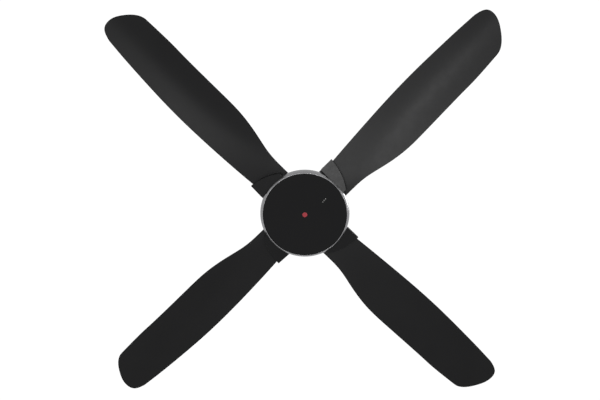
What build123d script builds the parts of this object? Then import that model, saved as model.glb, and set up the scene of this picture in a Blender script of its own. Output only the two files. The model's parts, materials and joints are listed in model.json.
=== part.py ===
# Low-profile ceiling fan with four blades, an outer-rotor motor and a flat glossy under-cover.
# Frame: the origin is the centre of the face that lies on the ceiling and +Z points up,
# so the whole fan hangs below z = 0.  Blade 1 points along +X +Y.  Millimetres.

from math import cos, radians, sin, tan
import os

from build123d import *

os.makedirs("parts", exist_ok=True)

# ------------------------------------------------------------------ driving dimensions

blade_count = 4
sweep_radius = 660.0          # 1320 mm (52 in) blade sweep
first_blade_angle = 45.0

# ceiling bracket and canopy
bracket_radius = 48.0
bracket_thickness = 3.0
ceiling_slot_spacing = 76.0
ceiling_slot_length = 14.0
ceiling_slot_width = 5.2
socket_radius = 14.5
socket_bottom = -36.0
canopy_radius = 56.0
canopy_top = -1.0
canopy_bottom = -55.0
canopy_wall = 2.0
canopy_screw_z = -9.0
tab_reach = 53.5

# stem, pins and coupling
stem_radius = 10.5
stem_bore = 8.0
stem_top = -5.0
stem_bottom = -102.0
upper_pin_z = -24.0
lower_pin_z = -94.0
pin_radius = 3.0
pin_seat = 13.5               # flats on socket and yoke where the pin heads sit
yoke_top = -84.0
yoke_bottom = -121.0
yoke_floor = -108.0
coupling_cover_top = -74.0
coupling_cover_bottom = -119.0

# motor shaft and bearings (6203 size: 17 x 40 x 12)
shaft_radius = 8.5
shaft_core_radius = 12.0
shaft_bore = 4.5
shaft_thread_radius = 8.0
shaft_bottom = -206.0
bearing_width = 12.0
bearing_outer = 20.0
bearing_pitch_radius = 14.25
ball_radius = 3.375
ball_count = 8
race_clearance = 0.05
upper_bearing_z = -133.0
lower_bearing_z = -186.0

# motor
stator_top = -146.0
stator_bottom = -172.0
stator_radius = 77.5
tooth_count = 12
tooth_width = 13.0
magnet_inner = 78.3
magnet_outer = 83.5
back_iron_outer = 87.5
magnet_count = 16

# rotor housing
cup_radius = 91.5
foot_radius = 97.5
foot_top = -174.0
plate_top = -180.0
plate_bottom = -186.0
dome_top = -123.5
boss_radius = 27.0

# trim band round the rotor
band_radius = 108.6
band_bottom = -214.5
band_inner = 102.4
band_screw_radius = 94.5

# blade holders
holder_flange_bottom = -193.0
holder_pitch = 6.4            # degrees, leading edge raised
holder_top_z = -185.0         # height of the holder's upper face on the blade axis
holder_lead = -47.0
holder_trail = 28.0
arm_start = 102.8             # the arm drops past the cover's rim from here outward
arm_length = 40.0
arm_lead_bottom = -194.0
arm_trail_bottom = -206.0
arm_rise = 8.0                # climb of the arm's underside from its inner to its outer end
mouth_bottom = -210.9         # the band's mouth for the arm
mouth_side_bottom = -199.4
mouth_knee = -28.0

# fixed underside
mount_plate_top = -197.0
mount_plate_thickness = 2.0
mount_plate_radius = 97.0
board_top = -205.0
board_thickness = 1.6
board_radius = 68.0
cover_radius = 101.8
cover_bottom = -215.0
cover_floor = -212.5
cover_rim_top = -203.0

# blade sections: radius, pitch in degrees, leading reach, trailing reach, and the crease's place
# along the chord and pull upward; the blade is hollow below, so its trailing half turns down
blade_stations = (
    (84.0, 6.4, -47.0, 47.0, 10.0, -3.2),
    (185.0, 6.8, -49.0, 56.0, 24.0, 0.6),
    (300.0, 8.4, -55.5, 69.0, 12.0, 6.6),
    (430.0, 9.5, -58.0, 68.0, 5.0, 8.6),
    (560.0, 9.2, -54.5, 64.5, 3.0, 7.8),
    (675.0, 8.2, -50.0, 60.0, 0.0, 5.6),
)
blade_root_z = -184.5
blade_rise = 64.5
blade_rise_power = 1.7

screw_play = 0.02             # radial gap between a screw's shank and its hole


# ------------------------------------------------------------------ shared shapes

def pan_head_screw(thread_radius, length, head_radius, head_height):
    """Cross-recessed pan-head screw: head above z = 0, shank below."""
    with BuildPart() as screw:
        with BuildSketch(Plane.XZ):
            with BuildLine():
                Line((0, -length), (thread_radius - 0.4, -length))
                Line((thread_radius - 0.4, -length), (thread_radius, -length + 0.4))
                Line((thread_radius, -length + 0.4), (thread_radius, 0))
                Line((thread_radius, 0), (head_radius, 0))
                Line((head_radius, 0), (head_radius, head_height * 0.4))
                RadiusArc((head_radius, head_height * 0.4), (0, head_height), -head_radius * 1.9)
                Line((0, head_height), (0, -length))
            make_face()
        revolve(axis=Axis.Z)
        with BuildSketch(Plane.XY.offset(head_height)):
            Rectangle(head_radius * 1.1, head_radius * 0.24)
            Rectangle(head_radius * 0.24, head_radius * 1.1)
        extrude(amount=-head_height * 0.62, mode=Mode.SUBTRACT)
    return screw.part


def place(radius, angle, z, flip=False):
    """Location on a circle round the fan's axis; flip turns a screw's head downward."""
    x = radius * cos(radians(angle))
    y = radius * sin(radians(angle))
    return Location((x, y, z), (180 if flip else 0, 0, 0))


def blade_mid_z(radius):
    """Height of the blade's mid-line: level at the root, sweeping up toward the tip."""
    outboard = max(radius - 110.0, 0.0) / 550.0
    return blade_root_z + blade_rise * outboard ** blade_rise_power


def tilted(height):
    """Plane parallel to the holder's upper face and height above it, square to the blade screws."""
    pitch = radians(holder_pitch)
    return Plane(
        origin=(0, sin(pitch) * height, holder_top_z + cos(pitch) * height),
        x_dir=(1, 0, 0),
        z_dir=(0, sin(pitch), cos(pitch)),
    )


def arm_top(y):
    """Height of the holder's tilted upper face at y."""
    return holder_top_z - y * tan(radians(holder_pitch))


def arm_mouth(grow):
    """Mouth in the band that a holder's arm comes out of, wider than the arm by grow."""
    with BuildPart() as mouth:
        with BuildSketch(Plane.YZ.offset(70)):
            with BuildLine():
                Polyline(
                    (holder_lead - grow, -170),
                    (holder_lead - grow, mouth_side_bottom),
                    (mouth_knee - grow, mouth_bottom),
                    (holder_trail + grow, mouth_bottom),
                    (holder_trail + grow, -170),
                    close=True,
                )
            make_face()
        extrude(amount=60)
    return mouth.part


def clear_slot(grow):
    """Room over the band for the blade's root, wider than the arm on the trailing side."""
    with BuildPart() as slot:
        with BuildSketch(Plane.XY.offset(-193.5)):
            with Locations((100, -1.0)):
                Rectangle(60, 90 + 2 * grow)
        extrude(amount=14)
    return slot.part


# ------------------------------------------------------------------ ceiling side (fixed)

with BuildPart() as ceiling_bracket:
    with BuildSketch():
        Circle(bracket_radius)
        Rectangle(2 * tab_reach, 14)
        with Locations((ceiling_slot_spacing / 2, 0), (-ceiling_slot_spacing / 2, 0)):
            SlotOverall(ceiling_slot_length, ceiling_slot_width, mode=Mode.SUBTRACT)
        with Locations((-26, 24)):
            Circle(7, mode=Mode.SUBTRACT)
    extrude(amount=-bracket_thickness)
    for side in (1, -1):
        with BuildSketch(Plane.XY.offset(-bracket_thickness)):
            with Locations((side * (tab_reach - 1.5), 0)):
                Rectangle(3, 14)
        extrude(amount=-12)
    with BuildSketch(Plane.XY.offset(-bracket_thickness)):
        Circle(socket_radius)
    extrude(amount=socket_bottom + bracket_thickness)
    with BuildSketch(Plane.XY.offset(socket_bottom)):
        Circle(stem_radius + 0.05)
    extrude(amount=-socket_bottom - bracket_thickness - 1, mode=Mode.SUBTRACT)
    for side in (1, -1):
        with BuildSketch(Plane.XZ.offset(side * pin_seat)):
            with Locations((0, upper_pin_z)):
                Circle(6.5)
        extrude(amount=side * 5, mode=Mode.SUBTRACT)
    with BuildSketch(Plane.XZ):
        with Locations((0, upper_pin_z)):
            Circle(pin_radius + screw_play)
    extrude(amount=30, both=True, mode=Mode.SUBTRACT)
    with BuildSketch(Plane.YZ):
        with Locations((0, canopy_screw_z)):
            Circle(2 + screw_play)
    extrude(amount=60, both=True, mode=Mode.SUBTRACT)
    with BuildSketch(Plane.XY.offset(-bracket_thickness)):
        with Locations((-8.5, 32), (16.5, 32)):
            Circle(1.5 + screw_play)
        with Locations((26, -26)):
            Circle(2 + screw_play)
    extrude(amount=bracket_thickness - 0.2, mode=Mode.SUBTRACT)
ceiling_bracket.part.label = "ceiling_bracket"
export_step(ceiling_bracket.part, "parts/ceiling_bracket.step")

with BuildPart() as terminal_block:
    with BuildSketch(Plane.XY.offset(-bracket_thickness)):
        with Locations((4, 32)):
            RectangleRounded(32, 16, 2)
    extrude(amount=-13)
    with BuildSketch(Plane.XY.offset(-bracket_thickness)):
        with Locations((-8.5, 32), (16.5, 32)):
            Circle(1.5 + screw_play)
    extrude(amount=-13, mode=Mode.SUBTRACT)
    with BuildSketch(Plane.XY.offset(-16)):
        with Locations((-3, 32), (4, 32), (11, 32)):
            Circle(2.5)
    extrude(amount=9, mode=Mode.SUBTRACT)
    with BuildSketch(Plane.XZ.offset(-40)):
        with Locations((-3, -10), (4, -10), (11, -10)):
            Circle(1.8)
    extrude(amount=7, mode=Mode.SUBTRACT)
terminal_block.part.label = "terminal_block"
export_step(terminal_block.part, "parts/terminal_block.step")

terminal_clamp = pan_head_screw(1.6, 2.5, 2.45, 1.6)
with BuildPart() as terminal_clamps:
    with Locations(*[Location((x, 32, -9.5), (180, 0, 0)) for x in (-3, 4, 11)]):
        add(terminal_clamp)
terminal_clamps.part.label = "terminal_clamps"
export_step(terminal_clamps.part, "parts/terminal_clamps.step")

block_screw = pan_head_screw(1.5, 15, 2.8, 2.0)
with BuildPart() as terminal_block_screws:
    with Locations(*[Location((x, 32, -16), (180, 0, 0)) for x in (-8.5, 16.5)]):
        add(block_screw)
terminal_block_screws.part.label = "terminal_block_screws"
export_step(terminal_block_screws.part, "parts/terminal_block_screws.step")

with BuildPart() as earth_screw:
    with Locations(Location((26, -26, -bracket_thickness), (180, 0, 0))):
        add(pan_head_screw(2.0, 2.6, 4.0, 2.4))
earth_screw.part.label = "earth_screw"
export_step(earth_screw.part, "parts/earth_screw.step")

with BuildPart() as canopy:
    with BuildSketch(Plane.XZ):
        with BuildLine():
            FilletPolyline(
                (canopy_radius, canopy_top),
                (canopy_radius, canopy_bottom + 8),
                (canopy_radius - 18, canopy_bottom),
                (stem_radius + 0.7, canopy_bottom),
                radius=12,
            )
            offset(amount=canopy_wall, side=Side.RIGHT)
        make_face()
    revolve(axis=Axis.Z)
    with BuildSketch(Plane.YZ):
        with Locations((0, canopy_screw_z)):
            Circle(2.2)
    extrude(amount=70, both=True, mode=Mode.SUBTRACT)
canopy.part.label = "canopy"
export_step(canopy.part, "parts/canopy.step")

canopy_screw = pan_head_screw(2.0, 10, 3.8, 2.3)
with BuildPart() as canopy_screws:
    with Locations(
        Location((canopy_radius, 0, canopy_screw_z), (0, 90, 0)),
        Location((-canopy_radius, 0, canopy_screw_z), (0, -90, 0)),
    ):
        add(canopy_screw)
canopy_screws.part.label = "canopy_screws"
export_step(canopy_screws.part, "parts/canopy_screws.step")

with BuildPart() as stem:
    with BuildSketch(Plane.XY.offset(stem_bottom)):
        Circle(stem_radius)
        Circle(stem_bore, mode=Mode.SUBTRACT)
    extrude(amount=stem_top - stem_bottom)
    with BuildSketch(Plane.XZ):
        with Locations((0, upper_pin_z), (0, lower_pin_z)):
            Circle(pin_radius + screw_play)
    extrude(amount=20, both=True, mode=Mode.SUBTRACT)
    with BuildSketch(Plane.YZ):
        with Locations((0, -44.5)):
            Circle(3.5)
    extrude(amount=20, mode=Mode.SUBTRACT)
stem.part.label = "stem"
export_step(stem.part, "parts/stem.step")

with BuildPart() as clevis_pin:
    with BuildSketch(Plane.XZ.offset(pin_seat)):
        Circle(5)
    extrude(amount=2.5)
    with BuildSketch(Plane.XZ.offset(pin_seat)):
        Circle(pin_radius)
    extrude(amount=-2 * pin_seat - 6)
    with BuildSketch(Plane.YZ):
        with Locations((pin_seat + 3, 0)):
            Circle(0.9)
    extrude(amount=10, both=True, mode=Mode.SUBTRACT)
    chamfer(clevis_pin.faces().sort_by(Axis.Y)[-1].edges(), 0.6)

with BuildPart() as stem_pins:
    with Locations((0, 0, upper_pin_z), (0, 0, lower_pin_z)):
        add(clevis_pin.part)
stem_pins.part.label = "stem_pins"
export_step(stem_pins.part, "parts/stem_pins.step")

with BuildPart() as split_pin:
    with BuildSketch(Plane.YZ.offset(-7)):
        with Locations((pin_seat + 3, 0)):
            Circle(0.8)
    extrude(amount=11.4)
    with Locations((6.1, pin_seat + 3, 0)):
        Torus(1.8, 0.9)

with BuildPart() as cotter_pins:
    with Locations((0, 0, upper_pin_z), (0, 0, lower_pin_z)):
        add(split_pin.part)
cotter_pins.part.label = "cotter_pins"
export_step(cotter_pins.part, "parts/cotter_pins.step")

with BuildPart() as grommet:
    with BuildSketch():
        Circle(14)
        Circle(stem_radius, mode=Mode.SUBTRACT)
    extrude(amount=3)
    fillet(grommet.edges().filter_by(GeomType.CIRCLE).group_by(SortBy.RADIUS)[-1], 1.2)

with BuildPart() as stem_grommets:
    with Locations((0, 0, canopy_bottom - 3), (0, 0, coupling_cover_top)):
        add(grommet.part)
stem_grommets.part.label = "stem_grommets"
export_step(stem_grommets.part, "parts/stem_grommets.step")

with BuildPart() as coupling_yoke:
    with BuildSketch(Plane.XY.offset(yoke_bottom)):
        Circle(socket_radius)
    extrude(amount=yoke_top - yoke_bottom)
    with BuildSketch(Plane.XY.offset(stem_bottom)):
        Circle(stem_radius + 0.05)
    extrude(amount=yoke_top - stem_bottom, mode=Mode.SUBTRACT)
    with BuildSketch(Plane.XY.offset(yoke_bottom)):
        Circle(shaft_radius + 0.02)
    extrude(amount=yoke_floor - yoke_bottom, mode=Mode.SUBTRACT)
    with BuildSketch(Plane.XY.offset(yoke_floor)):
        Circle(7.8)
    extrude(amount=stem_bottom - yoke_floor, mode=Mode.SUBTRACT)
    for side in (1, -1):
        with BuildSketch(Plane.XZ.offset(side * pin_seat)):
            with Locations((0, lower_pin_z)):
                Circle(6.5)
        extrude(amount=side * 5, mode=Mode.SUBTRACT)
    with BuildSketch(Plane.XZ):
        with Locations((0, lower_pin_z)):
            Circle(pin_radius + screw_play)
    extrude(amount=30, both=True, mode=Mode.SUBTRACT)
    with BuildSketch(Plane.YZ):
        with Locations((0, -114.5)):
            Circle(3 + screw_play)
    extrude(amount=30, both=True, mode=Mode.SUBTRACT)
coupling_yoke.part.label = "coupling_yoke"
export_step(coupling_yoke.part, "parts/coupling_yoke.step")

with BuildPart() as set_screw:
    with BuildSketch():
        Circle(3)
        RegularPolygon(1.7, 6, mode=Mode.SUBTRACT)
    extrude(amount=-3.5)
    with BuildSketch(Plane.XY.offset(-3.5)):
        Circle(3)
    extrude(amount=-3.5)

with BuildPart() as coupling_set_screws:
    with Locations(
        Location((shaft_radius + 7, 0, -114.5), (0, 90, 0)),
        Location((-shaft_radius - 7, 0, -114.5), (0, -90, 0)),
    ):
        add(set_screw.part)
coupling_set_screws.part.label = "coupling_set_screws"
export_step(coupling_set_screws.part, "parts/coupling_set_screws.step")

with BuildPart() as coupling_cover:
    with BuildSketch(Plane.XZ):
        with BuildLine():
            FilletPolyline(
                (40, coupling_cover_bottom),
                (34, coupling_cover_top - 16),
                (26, coupling_cover_top),
                (stem_radius + 0.1, coupling_cover_top),
                radius=9,
            )
            offset(amount=1.8, side=Side.LEFT)
        make_face()
    revolve(axis=Axis.Z)
coupling_cover.part.label = "coupling_cover"
export_step(coupling_cover.part, "parts/coupling_cover.step")

# ------------------------------------------------------------------ shaft and stator (fixed)

with BuildPart() as motor_shaft:
    with BuildSketch(Plane.XZ):
        with BuildLine():
            Polyline(
                (shaft_bore, yoke_floor),
                (shaft_radius, yoke_floor),
                (shaft_radius, -139),
                (shaft_core_radius, -139),
                (shaft_core_radius, -180),
                (shaft_radius, -180),
                (shaft_radius, -192),
                (shaft_radius - 0.8, -192),
                (shaft_radius - 0.8, -193.2),
                (shaft_radius, -193.2),
                (shaft_radius, -195),
                (shaft_thread_radius, -195),
                (shaft_thread_radius, shaft_bottom),
                (shaft_bore, shaft_bottom),
                close=True,
            )
        make_face()
    revolve(axis=Axis.Z)
    with BuildSketch(Plane.YZ):
        with Locations((0, -174.4)):
            Circle(2.4)
    extrude(amount=-20, mode=Mode.SUBTRACT)
    chamfer(motor_shaft.faces().sort_by(Axis.Z)[-1].edges(), 0.8)
motor_shaft.part.label = "motor_shaft"
export_step(motor_shaft.part, "parts/motor_shaft.step")

with BuildPart() as stator_core:
    with BuildSketch(Plane.XY.offset(stator_bottom)):
        Circle(stator_radius)
        Circle(stator_radius - 4, mode=Mode.SUBTRACT)
        with PolarLocations(stator_radius, tooth_count, start_angle=180 / tooth_count):
            Rectangle(16, 5, mode=Mode.SUBTRACT)
        Circle(38)
        with PolarLocations(55, tooth_count):
            Rectangle(40, tooth_width)
        Circle(shaft_core_radius, mode=Mode.SUBTRACT)
        with PolarLocations(25, 6):
            Circle(5, mode=Mode.SUBTRACT)
    extrude(amount=stator_top - stator_bottom)
stator_core.part.label = "stator_core"
export_step(stator_core.part, "parts/stator_core.step")

with BuildPart() as coil:
    with BuildSketch(Plane.YZ.offset(41.5)):
        with Locations((0, (stator_top + stator_bottom) / 2)):
            RectangleRounded(20, 35, 4)
            Rectangle(tooth_width, stator_top - stator_bottom, mode=Mode.SUBTRACT)
    extrude(amount=31)

with BuildPart() as stator_windings:
    for index in range(tooth_count):
        add(coil.part, rotation=(0, 0, index * 360 / tooth_count))
stator_windings.part.label = "stator_windings"
export_step(stator_windings.part, "parts/stator_windings.step")

# ------------------------------------------------------------------ bearings

bearing_half = bearing_width / 2
groove_radius = ball_radius + race_clearance
for name, bearing_z in (("upper", upper_bearing_z), ("lower", lower_bearing_z)):
    level = Plane.XY.offset(bearing_z)
    with BuildPart() as inner_ring:
        with BuildSketch(level.offset(-bearing_half)):
            Circle(11.8)
            Circle(shaft_radius, mode=Mode.SUBTRACT)
        extrude(amount=bearing_width)
        with Locations((0, 0, bearing_z)):
            Torus(bearing_pitch_radius, groove_radius, mode=Mode.SUBTRACT)
    inner_ring.part.label = f"{name}_inner_ring"
    export_step(inner_ring.part, f"parts/{name}_inner_ring.step")

    with BuildPart() as outer_ring:
        with BuildSketch(level.offset(-bearing_half)):
            Circle(bearing_outer)
            Circle(16.7, mode=Mode.SUBTRACT)
        extrude(amount=bearing_width)
        with Locations((0, 0, bearing_z)):
            Torus(bearing_pitch_radius, groove_radius, mode=Mode.SUBTRACT)
    outer_ring.part.label = f"{name}_outer_ring"
    export_step(outer_ring.part, f"parts/{name}_outer_ring.step")

    with BuildPart() as balls:
        with Locations((0, 0, bearing_z)):
            with PolarLocations(bearing_pitch_radius, ball_count):
                Sphere(ball_radius)
    balls.part.label = f"{name}_balls"
    export_step(balls.part, f"parts/{name}_balls.step")

    with BuildPart() as cage:
        with BuildSketch(level.offset(-4.6)):
            Circle(15.2)
            Circle(13.2, mode=Mode.SUBTRACT)
        extrude(amount=9.2)
        with Locations((0, 0, bearing_z)):
            with PolarLocations(bearing_pitch_radius, ball_count):
                Cylinder(ball_radius + 0.04, 6, rotation=(0, 90, 0), mode=Mode.SUBTRACT)
    cage.part.label = f"{name}_cage"
    export_step(cage.part, f"parts/{name}_cage.step")

with BuildPart() as shaft_circlip:
    with BuildSketch(Plane.XY.offset(-193.2)):
        Circle(10.6)
        Circle(shaft_radius - 0.8, mode=Mode.SUBTRACT)
        with Locations((0, -9)):
            Rectangle(5, 6, mode=Mode.SUBTRACT)
    extrude(amount=1.2)
shaft_circlip.part.label = "shaft_circlip"
export_step(shaft_circlip.part, "parts/shaft_circlip.step")

# ------------------------------------------------------------------ rotor housing

with BuildPart() as rotor_upper_housing:
    with BuildSketch(Plane.XZ):
        with BuildLine():
            FilletPolyline(
                (cup_radius, foot_top),
                (cup_radius, -134),
                (78, -128.5),
                (boss_radius, dome_top),
                radius=8,
            )
            Polyline(
                (boss_radius, dome_top),
                (17, dome_top),
                (17, upper_bearing_z + bearing_half),
                (bearing_outer, upper_bearing_z + bearing_half),
                (bearing_outer, upper_bearing_z - bearing_half),
                (boss_radius, upper_bearing_z - bearing_half),
                (boss_radius, -129),
            )
            FilletPolyline(
                (boss_radius, -129),
                (76, -133.5),
                (back_iron_outer, -138),
                (back_iron_outer, plate_top),
                radius=5,
            )
            Polyline(
                (back_iron_outer, plate_top),
                (foot_radius, plate_top),
                (foot_radius, foot_top),
                (cup_radius, foot_top),
            )
        make_face()
    revolve(axis=Axis.Z)
    with BuildSketch(Plane.XY.offset(-140)):
        with PolarLocations(55, 12):
            SlotOverall(26, 5)
    extrude(amount=20, mode=Mode.SUBTRACT)
    with BuildSketch(Plane.XY.offset(plate_top)):
        for index in range(blade_count):
            for offset_angle in (-8, 8):
                with PolarLocations(band_screw_radius, 1, index * 90 + offset_angle):
                    Circle(2 + screw_play)
    extrude(amount=5.4, mode=Mode.SUBTRACT)
rotor_upper_housing.part.label = "rotor_upper_housing"
export_step(rotor_upper_housing.part, "parts/rotor_upper_housing.step")

# three screws clamp each holder to the underside of the lower housing
holder_screw_spots = ((88, -30), (90, 20), (71, -5))

with BuildPart() as rotor_lower_housing:
    with BuildSketch(Plane.XY.offset(plate_bottom)):
        Circle(foot_radius)
    extrude(amount=plate_top - plate_bottom)
    with BuildSketch(Plane.XY.offset(lower_bearing_z - bearing_half)):
        Circle(boss_radius)
    extrude(amount=bearing_width + 1.5)
    with BuildSketch(Plane.XY.offset(lower_bearing_z - bearing_half)):
        Circle(bearing_outer)
    extrude(amount=bearing_width, mode=Mode.SUBTRACT)
    with BuildSketch(Plane.XY.offset(lower_bearing_z)):
        Circle(17)
    extrude(amount=20, mode=Mode.SUBTRACT)
    with BuildSketch(Plane.XY.offset(plate_bottom)):
        for index in range(blade_count):
            for offset_angle in (-8, 8):
                with PolarLocations(band_screw_radius, 1, index * 90 + offset_angle):
                    Circle(2 + screw_play)
        for index in range(blade_count):
            with Locations(Location((0, 0, 0), first_blade_angle + index * 90)):
                with Locations(*holder_screw_spots):
                    Circle(2 + screw_play)
        with PolarLocations(45, 8):
            SlotOverall(16, 5)
    extrude(amount=plate_top - plate_bottom, mode=Mode.SUBTRACT)
rotor_lower_housing.part.label = "rotor_lower_housing"
export_step(rotor_lower_housing.part, "parts/rotor_lower_housing.step")

with BuildPart() as back_iron:
    with BuildSketch(Plane.XY.offset(-175)):
        Circle(back_iron_outer)
        Circle(magnet_outer, mode=Mode.SUBTRACT)
    extrude(amount=32)
back_iron.part.label = "back_iron"
export_step(back_iron.part, "parts/back_iron.step")

with BuildPart() as magnets:
    with BuildSketch(Plane.XY.offset(-173)):
        Circle(magnet_outer)
        Circle(magnet_inner, mode=Mode.SUBTRACT)
        with PolarLocations(magnet_outer, magnet_count):
            Rectangle(20, 2.4, mode=Mode.SUBTRACT)
    extrude(amount=28)
magnets.part.label = "magnets"
export_step(magnets.part, "parts/magnets.step")

# ------------------------------------------------------------------ trim band

with BuildPart() as trim_band:
    with BuildSketch(Plane.XZ):
        with BuildLine():
            Line((band_inner, band_bottom), (band_inner + 1.2, band_bottom))
            Spline(
                (band_inner + 1.2, band_bottom),
                (107.4, -208.5),
                (band_radius, -203.5),
                (105.2, plate_bottom),
                tangents=[(0.55, 0.84), (-0.3, 0.95)],
            )
            Line((105.2, plate_bottom), (88, plate_bottom))
            Line((88, plate_bottom), (88, plate_bottom - 2))
            Line((88, plate_bottom - 2), (102.6, plate_bottom - 2))
            Spline(
                (102.6, plate_bottom - 2),
                (106.0, -203),
                (105.0, -208.5),
                (band_inner, -211.5),
                tangents=[(0.2, -0.98), (-0.9, -0.4)],
            )
            Line((band_inner, -211.5), (band_inner, band_bottom))
        make_face()
    revolve(axis=Axis.Z)
    mouth = arm_mouth(0.4)
    slot = clear_slot(0.5)
    for index in range(blade_count):
        turn = first_blade_angle + index * 90
        add(mouth, rotation=(0, 0, turn), mode=Mode.SUBTRACT)
        add(slot, rotation=(0, 0, turn), mode=Mode.SUBTRACT)
    with BuildSketch(Plane.XY.offset(plate_bottom - 2)):
        for index in range(blade_count):
            for offset_angle in (-8, 8):
                with PolarLocations(band_screw_radius, 1, index * 90 + offset_angle):
                    Circle(2.2)
    extrude(amount=2, mode=Mode.SUBTRACT)
trim_band.part.label = "trim_band"
export_step(trim_band.part, "parts/trim_band.step")

band_screw = pan_head_screw(2.0, 12, 3.6, 2.2)
with BuildPart() as band_screws:
    for index in range(blade_count):
        for offset_angle in (-8, 8):
            with Locations(place(band_screw_radius, index * 90 + offset_angle, plate_bottom - 2, True)):
                add(band_screw)
band_screws.part.label = "band_screws"
export_step(band_screws.part, "parts/band_screws.step")

# ------------------------------------------------------------------ blade holders

blade_screw_spots = ((114, 10), (114, -32), (128, -20))

with BuildPart() as holder:
    for reach, climb in ((0, 0), (arm_length, arm_rise)):
        with BuildSketch(Plane.YZ.offset(arm_start + reach)):
            with BuildLine():
                Polyline(
                    (holder_lead, arm_top(holder_lead)),
                    (holder_lead, arm_lead_bottom + climb),
                    (holder_trail, arm_trail_bottom + climb),
                    (holder_trail, arm_top(holder_trail)),
                    close=True,
                )
            make_face()
    loft(ruled=True)
    with BuildSketch(Plane.XY.offset(holder_flange_bottom)):
        with BuildLine():
            Polyline(
                (62, -32),
                (62, 22),
                (80, holder_trail),
                (104, holder_trail),
                (104, holder_lead),
                (80, holder_lead),
                close=True,
            )
        make_face()
    extrude(amount=plate_bottom - holder_flange_bottom)
    with BuildSketch(Plane.XY.offset(-220)):
        with BuildLine():
            Line((50, 50), (50, -60))
            Line((50, -60), (138.5, -60))
            Line((138.5, -60), (138.5, holder_lead))
            Spline((138.5, holder_lead), (132.5, -12), (117, 22), (109, 32))
            Line((109, 32), (109, 50))
            Line((109, 50), (50, 50))
        make_face()
    extrude(amount=60, mode=Mode.INTERSECT)
    with BuildSketch(Plane.XY.offset(-220)):
        with Locations(*holder_screw_spots):
            Circle(2.2)
    extrude(amount=50, mode=Mode.SUBTRACT)
    with BuildSketch(tilted(-5)):
        with Locations(*blade_screw_spots):
            Circle(2 + screw_play)
    extrude(amount=10, mode=Mode.SUBTRACT)

for index in range(blade_count):
    with BuildPart() as placed_holder:
        add(holder.part, rotation=(0, 0, first_blade_angle + index * 360 / blade_count))
    placed_holder.part.label = f"holder_{index + 1}"
    export_step(placed_holder.part, f"parts/holder_{index + 1}.step")

holder_screw = pan_head_screw(2.0, 12, 3.6, 2.3)
with BuildPart() as holder_screws:
    for index in range(blade_count):
        turn = first_blade_angle + index * 90
        for x, y in holder_screw_spots:
            spot = Vector(x, y, holder_flange_bottom).rotate(Axis.Z, turn)
            with Locations(Location(spot, (180, 0, 0))):
                add(holder_screw)
holder_screws.part.label = "holder_screws"
export_step(holder_screws.part, "parts/holder_screws.step")

# ------------------------------------------------------------------ blades

washer_seat = 2.2             # height of the washers' seats above the holder's upper face
washer_thickness = 0.8

with BuildPart() as blade:
    for radius, pitch, lead, trail, crease, lift in blade_stations:
        lean = radians(pitch)
        section = Plane(
            origin=(radius, 0, blade_mid_z(radius)),
            x_dir=(0, cos(lean), -sin(lean)),
            z_dir=(1, 0, 0),
        )
        crown = lift + 11.0 - 6.8 * radius / sweep_radius
        with BuildSketch(section):
            with BuildLine():
                Bezier((lead, -0.8), (crease, lift), (crease, lift), (trail, -0.8))
                Line((trail, -0.8), (trail, 0.8))
                Bezier((trail, 0.8), (crease, crown), (crease, crown), (lead, 0.8))
                Line((lead, 0.8), (lead, -0.8))
            make_face()
    loft()
    with BuildSketch(Plane.XY.offset(-230)):
        with BuildLine():
            Spline(
                (96.7, 41), (165, 43), (216, 53.7), (285, 64.3), (345, 65), (480, 63.2), (597, 59.5),
                tangents=[(1, 0), (1, -0.06)],
            )
            Spline(
                (597, 59.5), (617, 53), (646, 23), (660, -8), (653, -34), (630, -44), (597, -47.3),
                tangents=[(1, -0.06), (-1, -0.08)],
            )
            Spline(
                (597, -47.3), (527, -51.4), (400, -55), (251, -49.6), (160, -43.2), (97.9, -38),
                tangents=[(-1, -0.08), (-1, 0.08)],
            )
            ThreePointArc((97.9, -38), (105, 0), (96.7, 41))
        make_face()
    extrude(amount=140, mode=Mode.INTERSECT)
    add(holder.part, mode=Mode.SUBTRACT)
    with BuildSketch(tilted(washer_seat)):
        with Locations(*blade_screw_spots):
            Circle(6.4)
    extrude(amount=20, mode=Mode.SUBTRACT)
    with BuildSketch(tilted(-2)):
        with Locations(*blade_screw_spots):
            Circle(2.3)
    extrude(amount=20, mode=Mode.SUBTRACT)

for index in range(blade_count):
    with BuildPart() as placed_blade:
        add(blade.part, rotation=(0, 0, first_blade_angle + index * 360 / blade_count))
    placed_blade.part.label = f"blade_{index + 1}"
    export_step(placed_blade.part, f"parts/blade_{index + 1}.step")

with BuildPart() as washer_set:
    with BuildSketch(tilted(washer_seat)):
        with Locations(*blade_screw_spots):
            Circle(5.8)
            Circle(2.2, mode=Mode.SUBTRACT)
    extrude(amount=washer_thickness)

with BuildPart() as blade_washers:
    for index in range(blade_count):
        add(washer_set.part, rotation=(0, 0, first_blade_angle + index * 90))
blade_washers.part.label = "blade_washers"
export_step(blade_washers.part, "parts/blade_washers.step")

blade_screw = pan_head_screw(2.0, 6.6, 3.8, 2.4)
screw_level = tilted(washer_seat + washer_thickness)
with BuildPart() as screw_set:
    with Locations(*[screw_level.location * Location((x, y, 0)) for x, y in blade_screw_spots]):
        add(blade_screw)

with BuildPart() as blade_screws:
    for index in range(blade_count):
        add(screw_set.part, rotation=(0, 0, first_blade_angle + index * 90))
blade_screws.part.label = "blade_screws"
export_step(blade_screws.part, "parts/blade_screws.step")

# ------------------------------------------------------------------ fixed underside

with BuildPart() as plate_spacer:
    with BuildSketch(Plane.XY.offset(mount_plate_top)):
        Circle(12.5)
        Circle(shaft_thread_radius + 0.02, mode=Mode.SUBTRACT)
    extrude(amount=2)
plate_spacer.part.label = "plate_spacer"
export_step(plate_spacer.part, "parts/plate_spacer.step")

post_circle = 80.0
board_post_circle = 58.0
board_post_angles = (20, 140, 260)
plate_bottom_face = mount_plate_top - mount_plate_thickness

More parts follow.
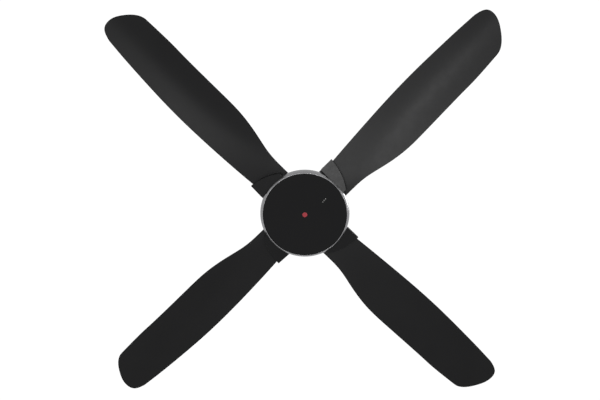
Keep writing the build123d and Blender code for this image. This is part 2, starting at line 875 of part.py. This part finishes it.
with BuildPart() as mounting_plate:
    with BuildSketch(Plane.XY.offset(plate_bottom_face)):
        Circle(mount_plate_radius)
        Circle(shaft_thread_radius + 0.02, mode=Mode.SUBTRACT)
        with PolarLocations(post_circle, 4):
            Circle(2.7, mode=Mode.SUBTRACT)
        with PolarLocations(38, 6, start_angle=30):
            Circle(9, mode=Mode.SUBTRACT)
        for angle in board_post_angles:
            with PolarLocations(board_post_circle, 1, angle):
                Circle(1.5, mode=Mode.SUBTRACT)
    extrude(amount=mount_plate_thickness)
mounting_plate.part.label = "mounting_plate"
export_step(mounting_plate.part, "parts/mounting_plate.step")

with BuildPart() as shaft_washer:
    with BuildSketch(Plane.XY.offset(plate_bottom_face - 1.2)):
        Circle(14.5)
        Circle(shaft_thread_radius + 0.02, mode=Mode.SUBTRACT)
    extrude(amount=1.2)
shaft_washer.part.label = "shaft_washer"
export_step(shaft_washer.part, "parts/shaft_washer.step")

with BuildPart() as shaft_nut:
    with BuildSketch(Plane.XY.offset(plate_bottom_face - 6.2)):
        RegularPolygon(12, 6, major_radius=False)
        Circle(shaft_thread_radius + 0.02, mode=Mode.SUBTRACT)
    extrude(amount=5)
shaft_nut.part.label = "shaft_nut"
export_step(shaft_nut.part, "parts/shaft_nut.step")

with BuildPart() as board_posts:
    with BuildSketch(Plane.XY.offset(board_top)):
        for angle in board_post_angles:
            with PolarLocations(board_post_circle, 1, angle):
                RegularPolygon(3, 6)
                Circle(1.27, mode=Mode.SUBTRACT)
    extrude(amount=plate_bottom_face - board_top)
board_posts.part.label = "board_posts"
export_step(board_posts.part, "parts/board_posts.step")

board_bottom = board_top - board_thickness
with BuildPart() as control_board:
    with BuildSketch(Plane.XY.offset(board_bottom)):
        Circle(board_radius)
        Circle(18, mode=Mode.SUBTRACT)
        for angle in board_post_angles:
            with PolarLocations(board_post_circle, 1, angle):
                Circle(1.6, mode=Mode.SUBTRACT)
    extrude(amount=board_thickness)
control_board.part.label = "control_board"
export_step(control_board.part, "parts/control_board.step")

board_screw = pan_head_screw(1.25, 5, 2.6, 1.6)
with BuildPart() as board_screws:
    for angle in board_post_angles:
        with Locations(place(board_post_circle, angle, board_bottom, True)):
            add(board_screw)
board_screws.part.label = "board_screws"
export_step(board_screws.part, "parts/board_screws.step")

with BuildPart() as board_capacitors:
    for x, y, turn in ((-34, 22, 0), (-34, 13, 0), (-14, 44, 90)):
        along = (cos(radians(turn)), sin(radians(turn)), 0)
        with BuildSketch(Plane(origin=(x, y, board_top + 2.8), x_dir=(0, 0, 1), z_dir=along)):
            Circle(2.8)
        extrude(amount=13)
board_capacitors.part.label = "board_capacitors"
export_step(board_capacitors.part, "parts/board_capacitors.step")

indicator_x = 46.8
indicator_y = -36.0
indicator_step = 5.0
indicator_spots = [
    (
        indicator_x + index * indicator_step * cos(radians(-50)),
        indicator_y + index * indicator_step * sin(radians(-50)),
    )
    for index in (-1, 0, 1)
]

with BuildPart() as board_chips:
    with BuildSketch(Plane.XY.offset(board_bottom)):
        with Locations((-30, -20), (-30, 26)):
            Rectangle(10, 10)
        with Locations((10, 44), (22, 44), (34, 38)):
            Rectangle(7, 9)
        with Locations((0, -40)):
            Rectangle(14, 6)
        with Locations(*indicator_spots):
            Rectangle(2.4, 2.4)
    extrude(amount=-1.5)
board_chips.part.label = "board_chips"
export_step(board_chips.part, "parts/board_chips.step")

with BuildPart() as board_connectors:
    with BuildSketch(Plane.XY.offset(board_bottom)):
        with Locations((29, 0), (-29, 0)):
            Rectangle(10, 12)
    extrude(amount=-5)
board_connectors.part.label = "board_connectors"
export_step(board_connectors.part, "parts/board_connectors.step")

with BuildPart() as supply_lead:
    with BuildLine() as lead_path:
        FilletPolyline(
            (14, 24, -9.5),
            (14, 17, -9.5),
            (22, 5, -26),
            (22, 0, -44.5),
            (5.4, 0, -44.5),
            (5.4, 0, -99),
            (2.3, 0, -106),
            (2.3, 0, -209.4),
            (24, 0, -209.4),
            radius=3.4,
        )
    with BuildSketch(lead_path.line ^ 0):
        Circle(2)
    sweep()
supply_lead.part.label = "supply_lead"
export_step(supply_lead.part, "parts/supply_lead.step")

with BuildPart() as motor_lead:
    with BuildLine() as lead_path:
        FilletPolyline(
            (-41.5, 0, -174.4),
            (-2.3, 0, -174.4),
            (-2.3, 0, -209.4),
            (-24, 0, -209.4),
            radius=3.4,
        )
    with BuildSketch(lead_path.line ^ 0):
        Circle(1.9)
    sweep()
motor_lead.part.label = "motor_lead"
export_step(motor_lead.part, "parts/motor_lead.step")

with BuildPart() as bottom_cover:
    with BuildSketch(Plane.XZ):
        with BuildLine():
            Polyline(
                (0, cover_bottom),
                (cover_radius - 1, cover_bottom),
                (cover_radius, cover_bottom + 1),
                (cover_radius, cover_rim_top),
                (cover_radius - 2.2, cover_rim_top),
                (cover_radius - 2.2, cover_floor),
                (0, cover_floor),
                close=True,
            )
        make_face()
    revolve(axis=Axis.Z)
    with BuildSketch(Plane.XY.offset(cover_floor)):
        with PolarLocations(post_circle, 4):
            Circle(4.5)
    extrude(amount=plate_bottom_face - cover_floor)
    with BuildSketch(Plane.XY.offset(plate_bottom_face)):
        with PolarLocations(post_circle, 4):
            Circle(2.65)
    extrude(amount=mount_plate_thickness)
    with BuildSketch(Plane.XY.offset(mount_plate_top)):
        with PolarLocations(post_circle, 4):
            Circle(3.1)
    extrude(amount=0.8)
    with BuildSketch(Plane.XY.offset(cover_bottom)):
        Circle(6.02)
        with Locations(*indicator_spots):
            Circle(1.12)
    extrude(amount=cover_floor - cover_bottom, mode=Mode.SUBTRACT)
bottom_cover.part.label = "bottom_cover"
export_step(bottom_cover.part, "parts/bottom_cover.step")

with BuildPart() as receiver_lens:
    with BuildSketch(Plane.XY.offset(cover_bottom - 0.3)):
        Circle(6)
    extrude(amount=cover_floor - cover_bottom + 0.3)
    with BuildSketch(Plane.XY.offset(cover_floor)):
        Circle(8)
    extrude(amount=0.8)
    fillet(receiver_lens.edges().group_by(Axis.Z)[0], 0.25)
receiver_lens.part.label = "receiver_lens"
export_step(receiver_lens.part, "parts/receiver_lens.step")

with BuildPart() as receiver_module:
    with BuildSketch(Plane.XY.offset(cover_floor + 0.8)):
        with Locations((0, -5.7)):
            Rectangle(8, 6)
    extrude(amount=3.2)
receiver_module.part.label = "receiver_module"
export_step(receiver_module.part, "parts/receiver_module.step")

with BuildPart() as indicator_lights:
    with BuildSketch(Plane.XY.offset(cover_bottom - 0.2)):
        with Locations(*indicator_spots):
            Circle(1.1)
    extrude(amount=board_bottom - 1.5 - cover_bottom + 0.2)
    with BuildSketch(Plane.XY.offset(cover_floor)):
        with Locations(*indicator_spots):
            Circle(1.9)
    extrude(amount=0.8)
indicator_lights.part.label = "indicator_lights"
export_step(indicator_lights.part, "parts/indicator_lights.step")
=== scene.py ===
import json
import math

import bpy
from mathutils import Matrix, Vector


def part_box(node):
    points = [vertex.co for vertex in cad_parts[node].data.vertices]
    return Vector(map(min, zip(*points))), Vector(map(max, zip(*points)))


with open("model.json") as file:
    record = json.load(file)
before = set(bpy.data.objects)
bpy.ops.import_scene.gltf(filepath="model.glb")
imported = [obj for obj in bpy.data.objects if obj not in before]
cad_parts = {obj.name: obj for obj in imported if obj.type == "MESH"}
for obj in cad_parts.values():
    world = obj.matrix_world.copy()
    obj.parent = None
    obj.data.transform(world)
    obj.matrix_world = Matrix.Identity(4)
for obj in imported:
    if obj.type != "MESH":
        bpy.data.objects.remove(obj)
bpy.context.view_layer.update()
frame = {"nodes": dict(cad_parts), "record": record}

# ------------------------------------------------------------------ materials

black = (0.009, 0.009, 0.0095)
paint_black = (0.016, 0.016, 0.017)
bare_steel = (0.3, 0.3, 0.31)     # shows where paint has chipped off an edge


class Nodes:
    """Small helper that builds one material's node tree."""

    def __init__(self, name):
        self.material = bpy.data.materials.new(name)
        self.material.use_nodes = True
        self.tree = self.material.node_tree
        self.tree.nodes.clear()
        self.output = self.add("ShaderNodeOutputMaterial")
        self.shader = self.add("ShaderNodeBsdfPrincipled")
        self.link(self.shader.outputs[0], self.output.inputs["Surface"])
        self.place = self.add("ShaderNodeTexCoord").outputs["Object"]

    def add(self, kind, **values):
        node = self.tree.nodes.new(kind)
        for key, value in values.items():
            setattr(node, key, value)
        return node

    def link(self, a, b):
        self.tree.links.new(a, b)

    def noise(self, scale, detail=3.0, roughness=0.55, stretch=None):
        """Noise in object space; stretch scales its axes, for brushed or drawn surfaces."""
        source = self.place
        if stretch:
            mapping = self.add("ShaderNodeMapping")
            mapping.inputs["Scale"].default_value = stretch
            self.link(source, mapping.inputs["Vector"])
            source = mapping.outputs[0]
        node = self.add("ShaderNodeTexNoise")
        node.inputs["Scale"].default_value = scale
        node.inputs["Detail"].default_value = detail
        node.inputs["Roughness"].default_value = roughness
        self.link(source, node.inputs["Vector"])
        return node.outputs["Fac"]

    def remap(self, value, low, high, start=0.3, end=0.7):
        """Stretch a value that runs from start to end so that it runs from low to high."""
        node = self.add("ShaderNodeMapRange")
        node.inputs["From Min"].default_value = start
        node.inputs["From Max"].default_value = end
        node.inputs["To Min"].default_value = low
        node.inputs["To Max"].default_value = high
        self.link(value, node.inputs["Value"])
        return node.outputs[0]

    def mix(self, factor, a, b):
        """Blend two colours, each a tuple or a socket."""
        node = self.add("ShaderNodeMix", data_type="RGBA")
        self.link(factor, node.inputs["Factor"])
        for socket, value in ((node.inputs["A"], a), (node.inputs["B"], b)):
            if isinstance(value, tuple):
                socket.default_value = (*value, 1.0)
            else:
                self.link(value, socket)
        return node.outputs["Result"]

    def edge_wear(self, width, sharpness=12.0):
        """1 on sharp edges and 0 on flats, from a bevelled normal against the true one."""
        bevel = self.add("ShaderNodeBevel", samples=4)
        bevel.inputs["Radius"].default_value = width
        geometry = self.add("ShaderNodeNewGeometry")
        dot = self.add("ShaderNodeVectorMath", operation="DOT_PRODUCT")
        self.link(bevel.outputs[0], dot.inputs[0])
        self.link(geometry.outputs["Normal"], dot.inputs[1])
        return self.remap(dot.outputs["Value"], 1.0, 0.0, 1.0 - 1.0 / sharpness, 1.0)

    def bump(self, height, strength, distance, bevel=0.0):
        """Raise the surface by a height field, in metres, over edges rounded by the bevel radius."""
        node = self.add("ShaderNodeBump")
        node.inputs["Strength"].default_value = strength
        node.inputs["Distance"].default_value = distance
        self.link(height, node.inputs["Height"])
        if bevel:
            round_edge = self.add("ShaderNodeBevel", samples=4)
            round_edge.inputs["Radius"].default_value = bevel
            self.link(round_edge.outputs[0], node.inputs["Normal"])
        self.link(node.outputs[0], self.shader.inputs["Normal"])

    def set(self, **values):
        """Give the shader's inputs a number or a socket each; Base_Color means Base Color."""
        for key, value in values.items():
            socket = self.shader.inputs[key.replace("_", " ")]
            if isinstance(value, bpy.types.NodeSocket):
                self.link(value, socket)
            else:
                socket.default_value = value


def scaled(colour, factor, lift=0.0):
    """The colour made paler or darker, each channel at most 1."""
    return tuple(min(channel * factor + lift, 1.0) for channel in colour)


def moulded_plastic(name, colour, roughness, grain=2600.0, grain_depth=0.00004, specular=0.3):
    """Injection-moulded plastic: fine spark-eroded grain, faint flow mottling, paler rubbed edges."""
    m = Nodes(name)
    cloud = m.noise(9.0, 2.0)
    worn = m.edge_wear(0.0006)
    base = m.mix(m.remap(cloud, 0.0, 1.0), scaled(colour, 0.86), colour)
    m.set(
        Base_Color=m.mix(worn, base, scaled(colour, 1.7, 0.01)),
        Roughness=m.remap(m.noise(60.0), roughness - 0.012, roughness + 0.018),
        Specular_IOR_Level=specular,
    )
    m.bump(m.noise(grain, 2.0), 0.35, grain_depth, bevel=0.0005)
    return m.material


def painted(name, colour, roughness, specular=0.4):
    """Sprayed satin paint: slight orange peel, uneven sheen, thin wear to metal on edges."""
    m = Nodes(name)
    worn = m.edge_wear(0.0005, 20.0)
    patchy = m.noise(180.0, 4.0, 0.7)
    chips = m.add("ShaderNodeMath", operation="MULTIPLY")
    m.link(worn, chips.inputs[0])
    m.link(m.remap(patchy, 0.0, 0.6, 0.5, 0.7), chips.inputs[1])
    base = m.mix(m.remap(m.noise(14.0), 0.0, 1.0), scaled(colour, 0.85), colour)
    m.set(
        Base_Color=m.mix(chips.outputs[0], base, bare_steel),
        Roughness=m.remap(m.noise(90.0), roughness - 0.015, roughness + 0.025),
        Specular_IOR_Level=specular,
    )
    m.bump(m.noise(900.0, 2.0), 0.3, 0.00005, bevel=0.0006)
    return m.material


def metal(name, colour, roughness, stretch=(1.0, 1.0, 1.0), scale=300.0, depth=0.00002):
    """Bare or plated metal: grain or brushing, mottled roughness, polished edges."""
    m = Nodes(name)
    brushed = m.noise(scale, 4.0, 0.7, stretch)
    tone = m.mix(m.remap(brushed, 0.0, 1.0), scaled(colour, 0.82), colour)
    m.set(
        Base_Color=m.mix(m.edge_wear(0.0004), tone, scaled(colour, 1.25)),
        Metallic=1.0,
        Roughness=m.remap(m.noise(40.0), roughness - 0.06, roughness + 0.08),
    )
    m.bump(brushed, 0.4, depth, bevel=0.0004)
    return m.material


def gloss_black(name, colour):
    """Polished black plastic: deep gloss, faint smudges and a barely wavy face."""
    m = Nodes(name)
    smudge = m.remap(m.noise(22.0, 5.0, 0.6), 0.05, 0.13, 0.35, 0.75)
    m.set(
        Base_Color=m.mix(m.remap(m.noise(5.0), 0.0, 1.0), scaled(colour, 0.9), colour),
        Roughness=smudge,
        Specular_IOR_Level=0.22,
        Coat_Weight=0.05,
        Coat_Roughness=0.04,
    )
    m.bump(m.noise(12.0, 1.0), 0.08, 0.00025, bevel=0.0006)
    return m.material


def windings_with_painted_groove_shade(name, colour):
    """Enamelled wire laid in even turns, with painted shade darkening the grooves between turns."""
    m = Nodes(name)
    wave = m.add("ShaderNodeTexWave", wave_type="RINGS", rings_direction="Z", wave_profile="SIN")
    wave.inputs["Scale"].default_value = 330.0
    wave.inputs["Distortion"].default_value = 0.6
    m.link(m.place, wave.inputs["Vector"])
    m.set(
        # painted shade: the copper colour drops to a third in the grooves between turns, where the
        # bump sinks
        Base_Color=m.mix(wave.outputs["Fac"], scaled(colour, 0.35), colour),
        Metallic=0.85,
        Roughness=m.remap(m.noise(90.0), 0.28, 0.42),
        Coat_Weight=0.4,
    )
    m.bump(wave.outputs["Fac"], 0.8, 0.0003)
    return m.material


def laminations(name, colour):
    """Stack of varnished sheets: fine level lines all round."""
    m = Nodes(name)
    wave = m.add("ShaderNodeTexWave", wave_type="BANDS", bands_direction="Z", wave_profile="SIN")
    wave.inputs["Scale"].default_value = 320.0
    m.link(m.place, wave.inputs["Vector"])
    m.set(
        Base_Color=m.mix(wave.outputs["Fac"], scaled(colour, 0.45), colour),
        Metallic=0.8,
        Roughness=m.remap(m.noise(60.0), 0.38, 0.55),
    )
    m.bump(wave.outputs["Fac"], 0.6, 0.0001)
    return m.material


def circuit_board(name, colour):
    """Solder-masked laminate with a faint network of tracks under the mask."""
    m = Nodes(name)
    cells = m.add("ShaderNodeTexVoronoi", distance="MANHATTAN", feature="F1")
    cells.inputs["Scale"].default_value = 90.0
    m.link(m.place, cells.inputs["Vector"])
    tracks = m.remap(cells.outputs["Distance"], 1.0, 0.0, 0.32, 0.4)
    m.set(
        Base_Color=m.mix(tracks, colour, scaled(colour, 1.9, 0.01)),
        Roughness=m.remap(tracks, 0.28, 0.4, 0.0, 1.0),
    )
    m.bump(tracks, 0.4, 0.00004)
    return m.material


def lens(name, colour, roughness=0.12):
    """Tinted, partly clear plastic with a soft inner cloud."""
    m = Nodes(name)
    m.set(
        Base_Color=m.mix(m.remap(m.noise(240.0), 0.0, 1.0), scaled(colour, 0.7), colour),
        Roughness=m.remap(m.noise(160.0), roughness - 0.04, roughness + 0.06),
        Transmission_Weight=0.35,
        IOR=1.49,
    )
    m.bump(m.noise(500.0), 0.15, 0.00002, bevel=0.0004)
    return m.material


# one finish for each material slot of the record
looks = {
    "blade": moulded_plastic("blade_plastic", black, 0.42, specular=0.22),
    "holder_black": painted("holder_paint", black, 0.34, specular=0.21),
    "housing_black": painted("housing_paint", paint_black, 0.42),
    "cover_gloss": gloss_black("cover_gloss", (0.006, 0.006, 0.0065)),
    "shell_black": painted("shell_paint", paint_black, 0.36),
    "trim_silver": metal("trim_anodised", (0.45, 0.45, 0.46), 0.26, (1, 1, 30), 60.0, 0.000004),
    "steel_plate": metal("zinc_plate", (0.56, 0.57, 0.58), 0.38, scale=120.0),
    "fastener_steel": metal("zinc_fastener", (0.6, 0.6, 0.58), 0.34, scale=900.0),
    "fastener_black": metal("black_oxide", (0.045, 0.045, 0.05), 0.42, scale=900.0),
    "shaft_steel": metal("ground_steel", (0.6, 0.6, 0.61), 0.22, (1, 1, 40), 80.0),
    "bearing_steel": metal("bearing_steel", (0.72, 0.72, 0.73), 0.12, scale=600.0, depth=0.000005),
    "cage_nylon": moulded_plastic("cage_nylon", (0.6, 0.56, 0.44), 0.45),
    "lamination": laminations("stator_laminations", (0.2, 0.21, 0.23)),
    "copper": windings_with_painted_groove_shade("winding_copper", (0.75, 0.28, 0.1)),
    "magnet": painted("ferrite", (0.05, 0.05, 0.055), 0.55),
    "back_iron_steel": metal("phosphated_ring", (0.2, 0.21, 0.22), 0.5, scale=200.0),
    "brass": metal("brass", (0.72, 0.5, 0.2), 0.26, scale=500.0),
    "rubber_black": moulded_plastic("grommet_rubber", (0.02, 0.02, 0.02), 0.72, 1500.0, 0.00008),
    "terminal_plastic": moulded_plastic("terminal_ivory", (0.72, 0.68, 0.56), 0.4),
    "board_green": circuit_board("solder_mask", (0.01, 0.11, 0.035)),
    "chip_black": moulded_plastic("epoxy_black", (0.02, 0.02, 0.021), 0.55),
    "connector_white": moulded_plastic("connector_nylon", (0.7, 0.69, 0.64), 0.42),
    "capacitor_sleeve": moulded_plastic("capacitor_sleeve", (0.02, 0.03, 0.11), 0.25),
    "lead_grey": moulded_plastic("lead_sheath", (0.16, 0.16, 0.17), 0.48),
    "lens_red": lens("receiver_window", (0.62, 0.07, 0.09)),
    "indicator": lens("light_pipe", (0.7, 0.7, 0.68), 0.2),
}

for entry in frame["record"]["subparts"]:
    finish = frame["nodes"][entry["node"]].data.materials
    finish.clear()
    finish.append(looks[entry["material_slot"]])

# ------------------------------------------------------------------ camera

camera_distance = 3.869
blade_root_height = 0.027         # above the under-cover's face

hub = Vector((0.0, 0.0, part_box("bottom_cover")[0][2]))

# looking up from below and a little to the -Y side, about three blade sweeps away
camera_ahead = Vector((-0.0015, 0.255, 1.0)).normalized()
camera_right = Vector((1.0, 0.0, 0.0))
camera_right = (camera_right - camera_right.dot(camera_ahead) * camera_ahead).normalized()
camera_up = camera_right.cross(camera_ahead)
aim = hub + Vector((0, 0, blade_root_height))
eye = aim - camera_ahead * camera_distance

camera_data = bpy.data.cameras.new("camera")
camera_data.sensor_width = 36.0
camera_data.lens = 94.93
camera_data.shift_x = -0.00815
camera_data.shift_y = 0.0201
camera_data.clip_end = 200.0
camera = bpy.data.objects.new("camera", camera_data)
bpy.context.scene.collection.objects.link(camera)
camera_axes = Matrix((camera_right, camera_up, -camera_ahead)).transposed()
camera.matrix_world = Matrix.Translation(eye) @ camera_axes.to_4x4()
bpy.context.scene.camera = camera

# ------------------------------------------------------------------ floor

floor_radius = 90.0
floor_corners = 96
floor_z = eye.z - 0.9             # lower than the camera
floor_mesh = bpy.data.meshes.new("floor")
turns = [index * math.tau / floor_corners for index in range(floor_corners)]
rim = [(floor_radius * math.cos(turn), floor_radius * math.sin(turn), floor_z) for turn in turns]
floor_mesh.from_pydata(rim, [], [list(range(floor_corners))])
floor = bpy.data.objects.new("floor", floor_mesh)
bpy.context.scene.collection.objects.link(floor)
floor_look = Nodes("floor_paint")
floor_cloud = floor_look.remap(floor_look.noise(0.6), 0.0, 1.0)
floor_look.set(
    Base_Color=floor_look.mix(floor_cloud, (0.72, 0.72, 0.72), (0.76, 0.76, 0.76)),
    Roughness=0.8,
    Specular_IOR_Level=0.1,
)
floor_mesh.materials.append(floor_look.material)

# ------------------------------------------------------------------ light

bpy.context.scene.view_settings.view_transform = "Standard"

# plain white backdrop; the room that the fan reflects is softer, and greyer lower down
white = (1.0, 1.0, 1.0, 1.0)
world = bpy.data.worlds.new("studio")
bpy.context.scene.world = world
world.use_nodes = True
tree = world.node_tree
backdrop = tree.nodes.new("ShaderNodeBackground")
backdrop.inputs["Color"].default_value = white
backdrop.inputs["Strength"].default_value = 1.05
direction = tree.nodes.new("ShaderNodeTexCoord")
split = tree.nodes.new("ShaderNodeSeparateXYZ")
height = tree.nodes.new("ShaderNodeMapRange")
height.inputs["From Min"].default_value = -0.25
height.inputs["From Max"].default_value = 0.35
height.inputs["To Min"].default_value = 0.42
height.inputs["To Max"].default_value = 0.62
room = tree.nodes["Background"]
room.inputs["Color"].default_value = white
path = tree.nodes.new("ShaderNodeLightPath")
choose = tree.nodes.new("ShaderNodeMixShader")
tree.links.new(direction.outputs["Generated"], split.inputs[0])
tree.links.new(split.outputs["Z"], height.inputs["Value"])
tree.links.new(height.outputs[0], room.inputs["Strength"])
tree.links.new(path.outputs["Is Camera Ray"], choose.inputs["Fac"])
tree.links.new(room.outputs[0], choose.inputs[1])
tree.links.new(backdrop.outputs[0], choose.inputs[2])
tree.links.new(choose.outputs[0], tree.nodes["World Output"].inputs["Surface"])


def area_light(name, place, size, power):
    """Soft square light aimed at the hub."""
    data = bpy.data.lights.new(name, "AREA")
    data.size = size
    data.energy = power
    lamp = bpy.data.objects.new(name, data)
    bpy.context.scene.collection.objects.link(lamp)
    lamp.location = place
    lamp.rotation_mode = "QUATERNION"
    lamp.rotation_quaternion = (hub - Vector(place)).to_track_quat("-Z", "Y")


area_light("key_light", (-0.75, -0.4, -3.8), 1.0, 26.0)
area_light("front_light", (0.2, -1.15, -3.7), 1.1, 38.0)
area_light("side_light", (3.0, -0.2, 2.0), 1.2, 30.0)
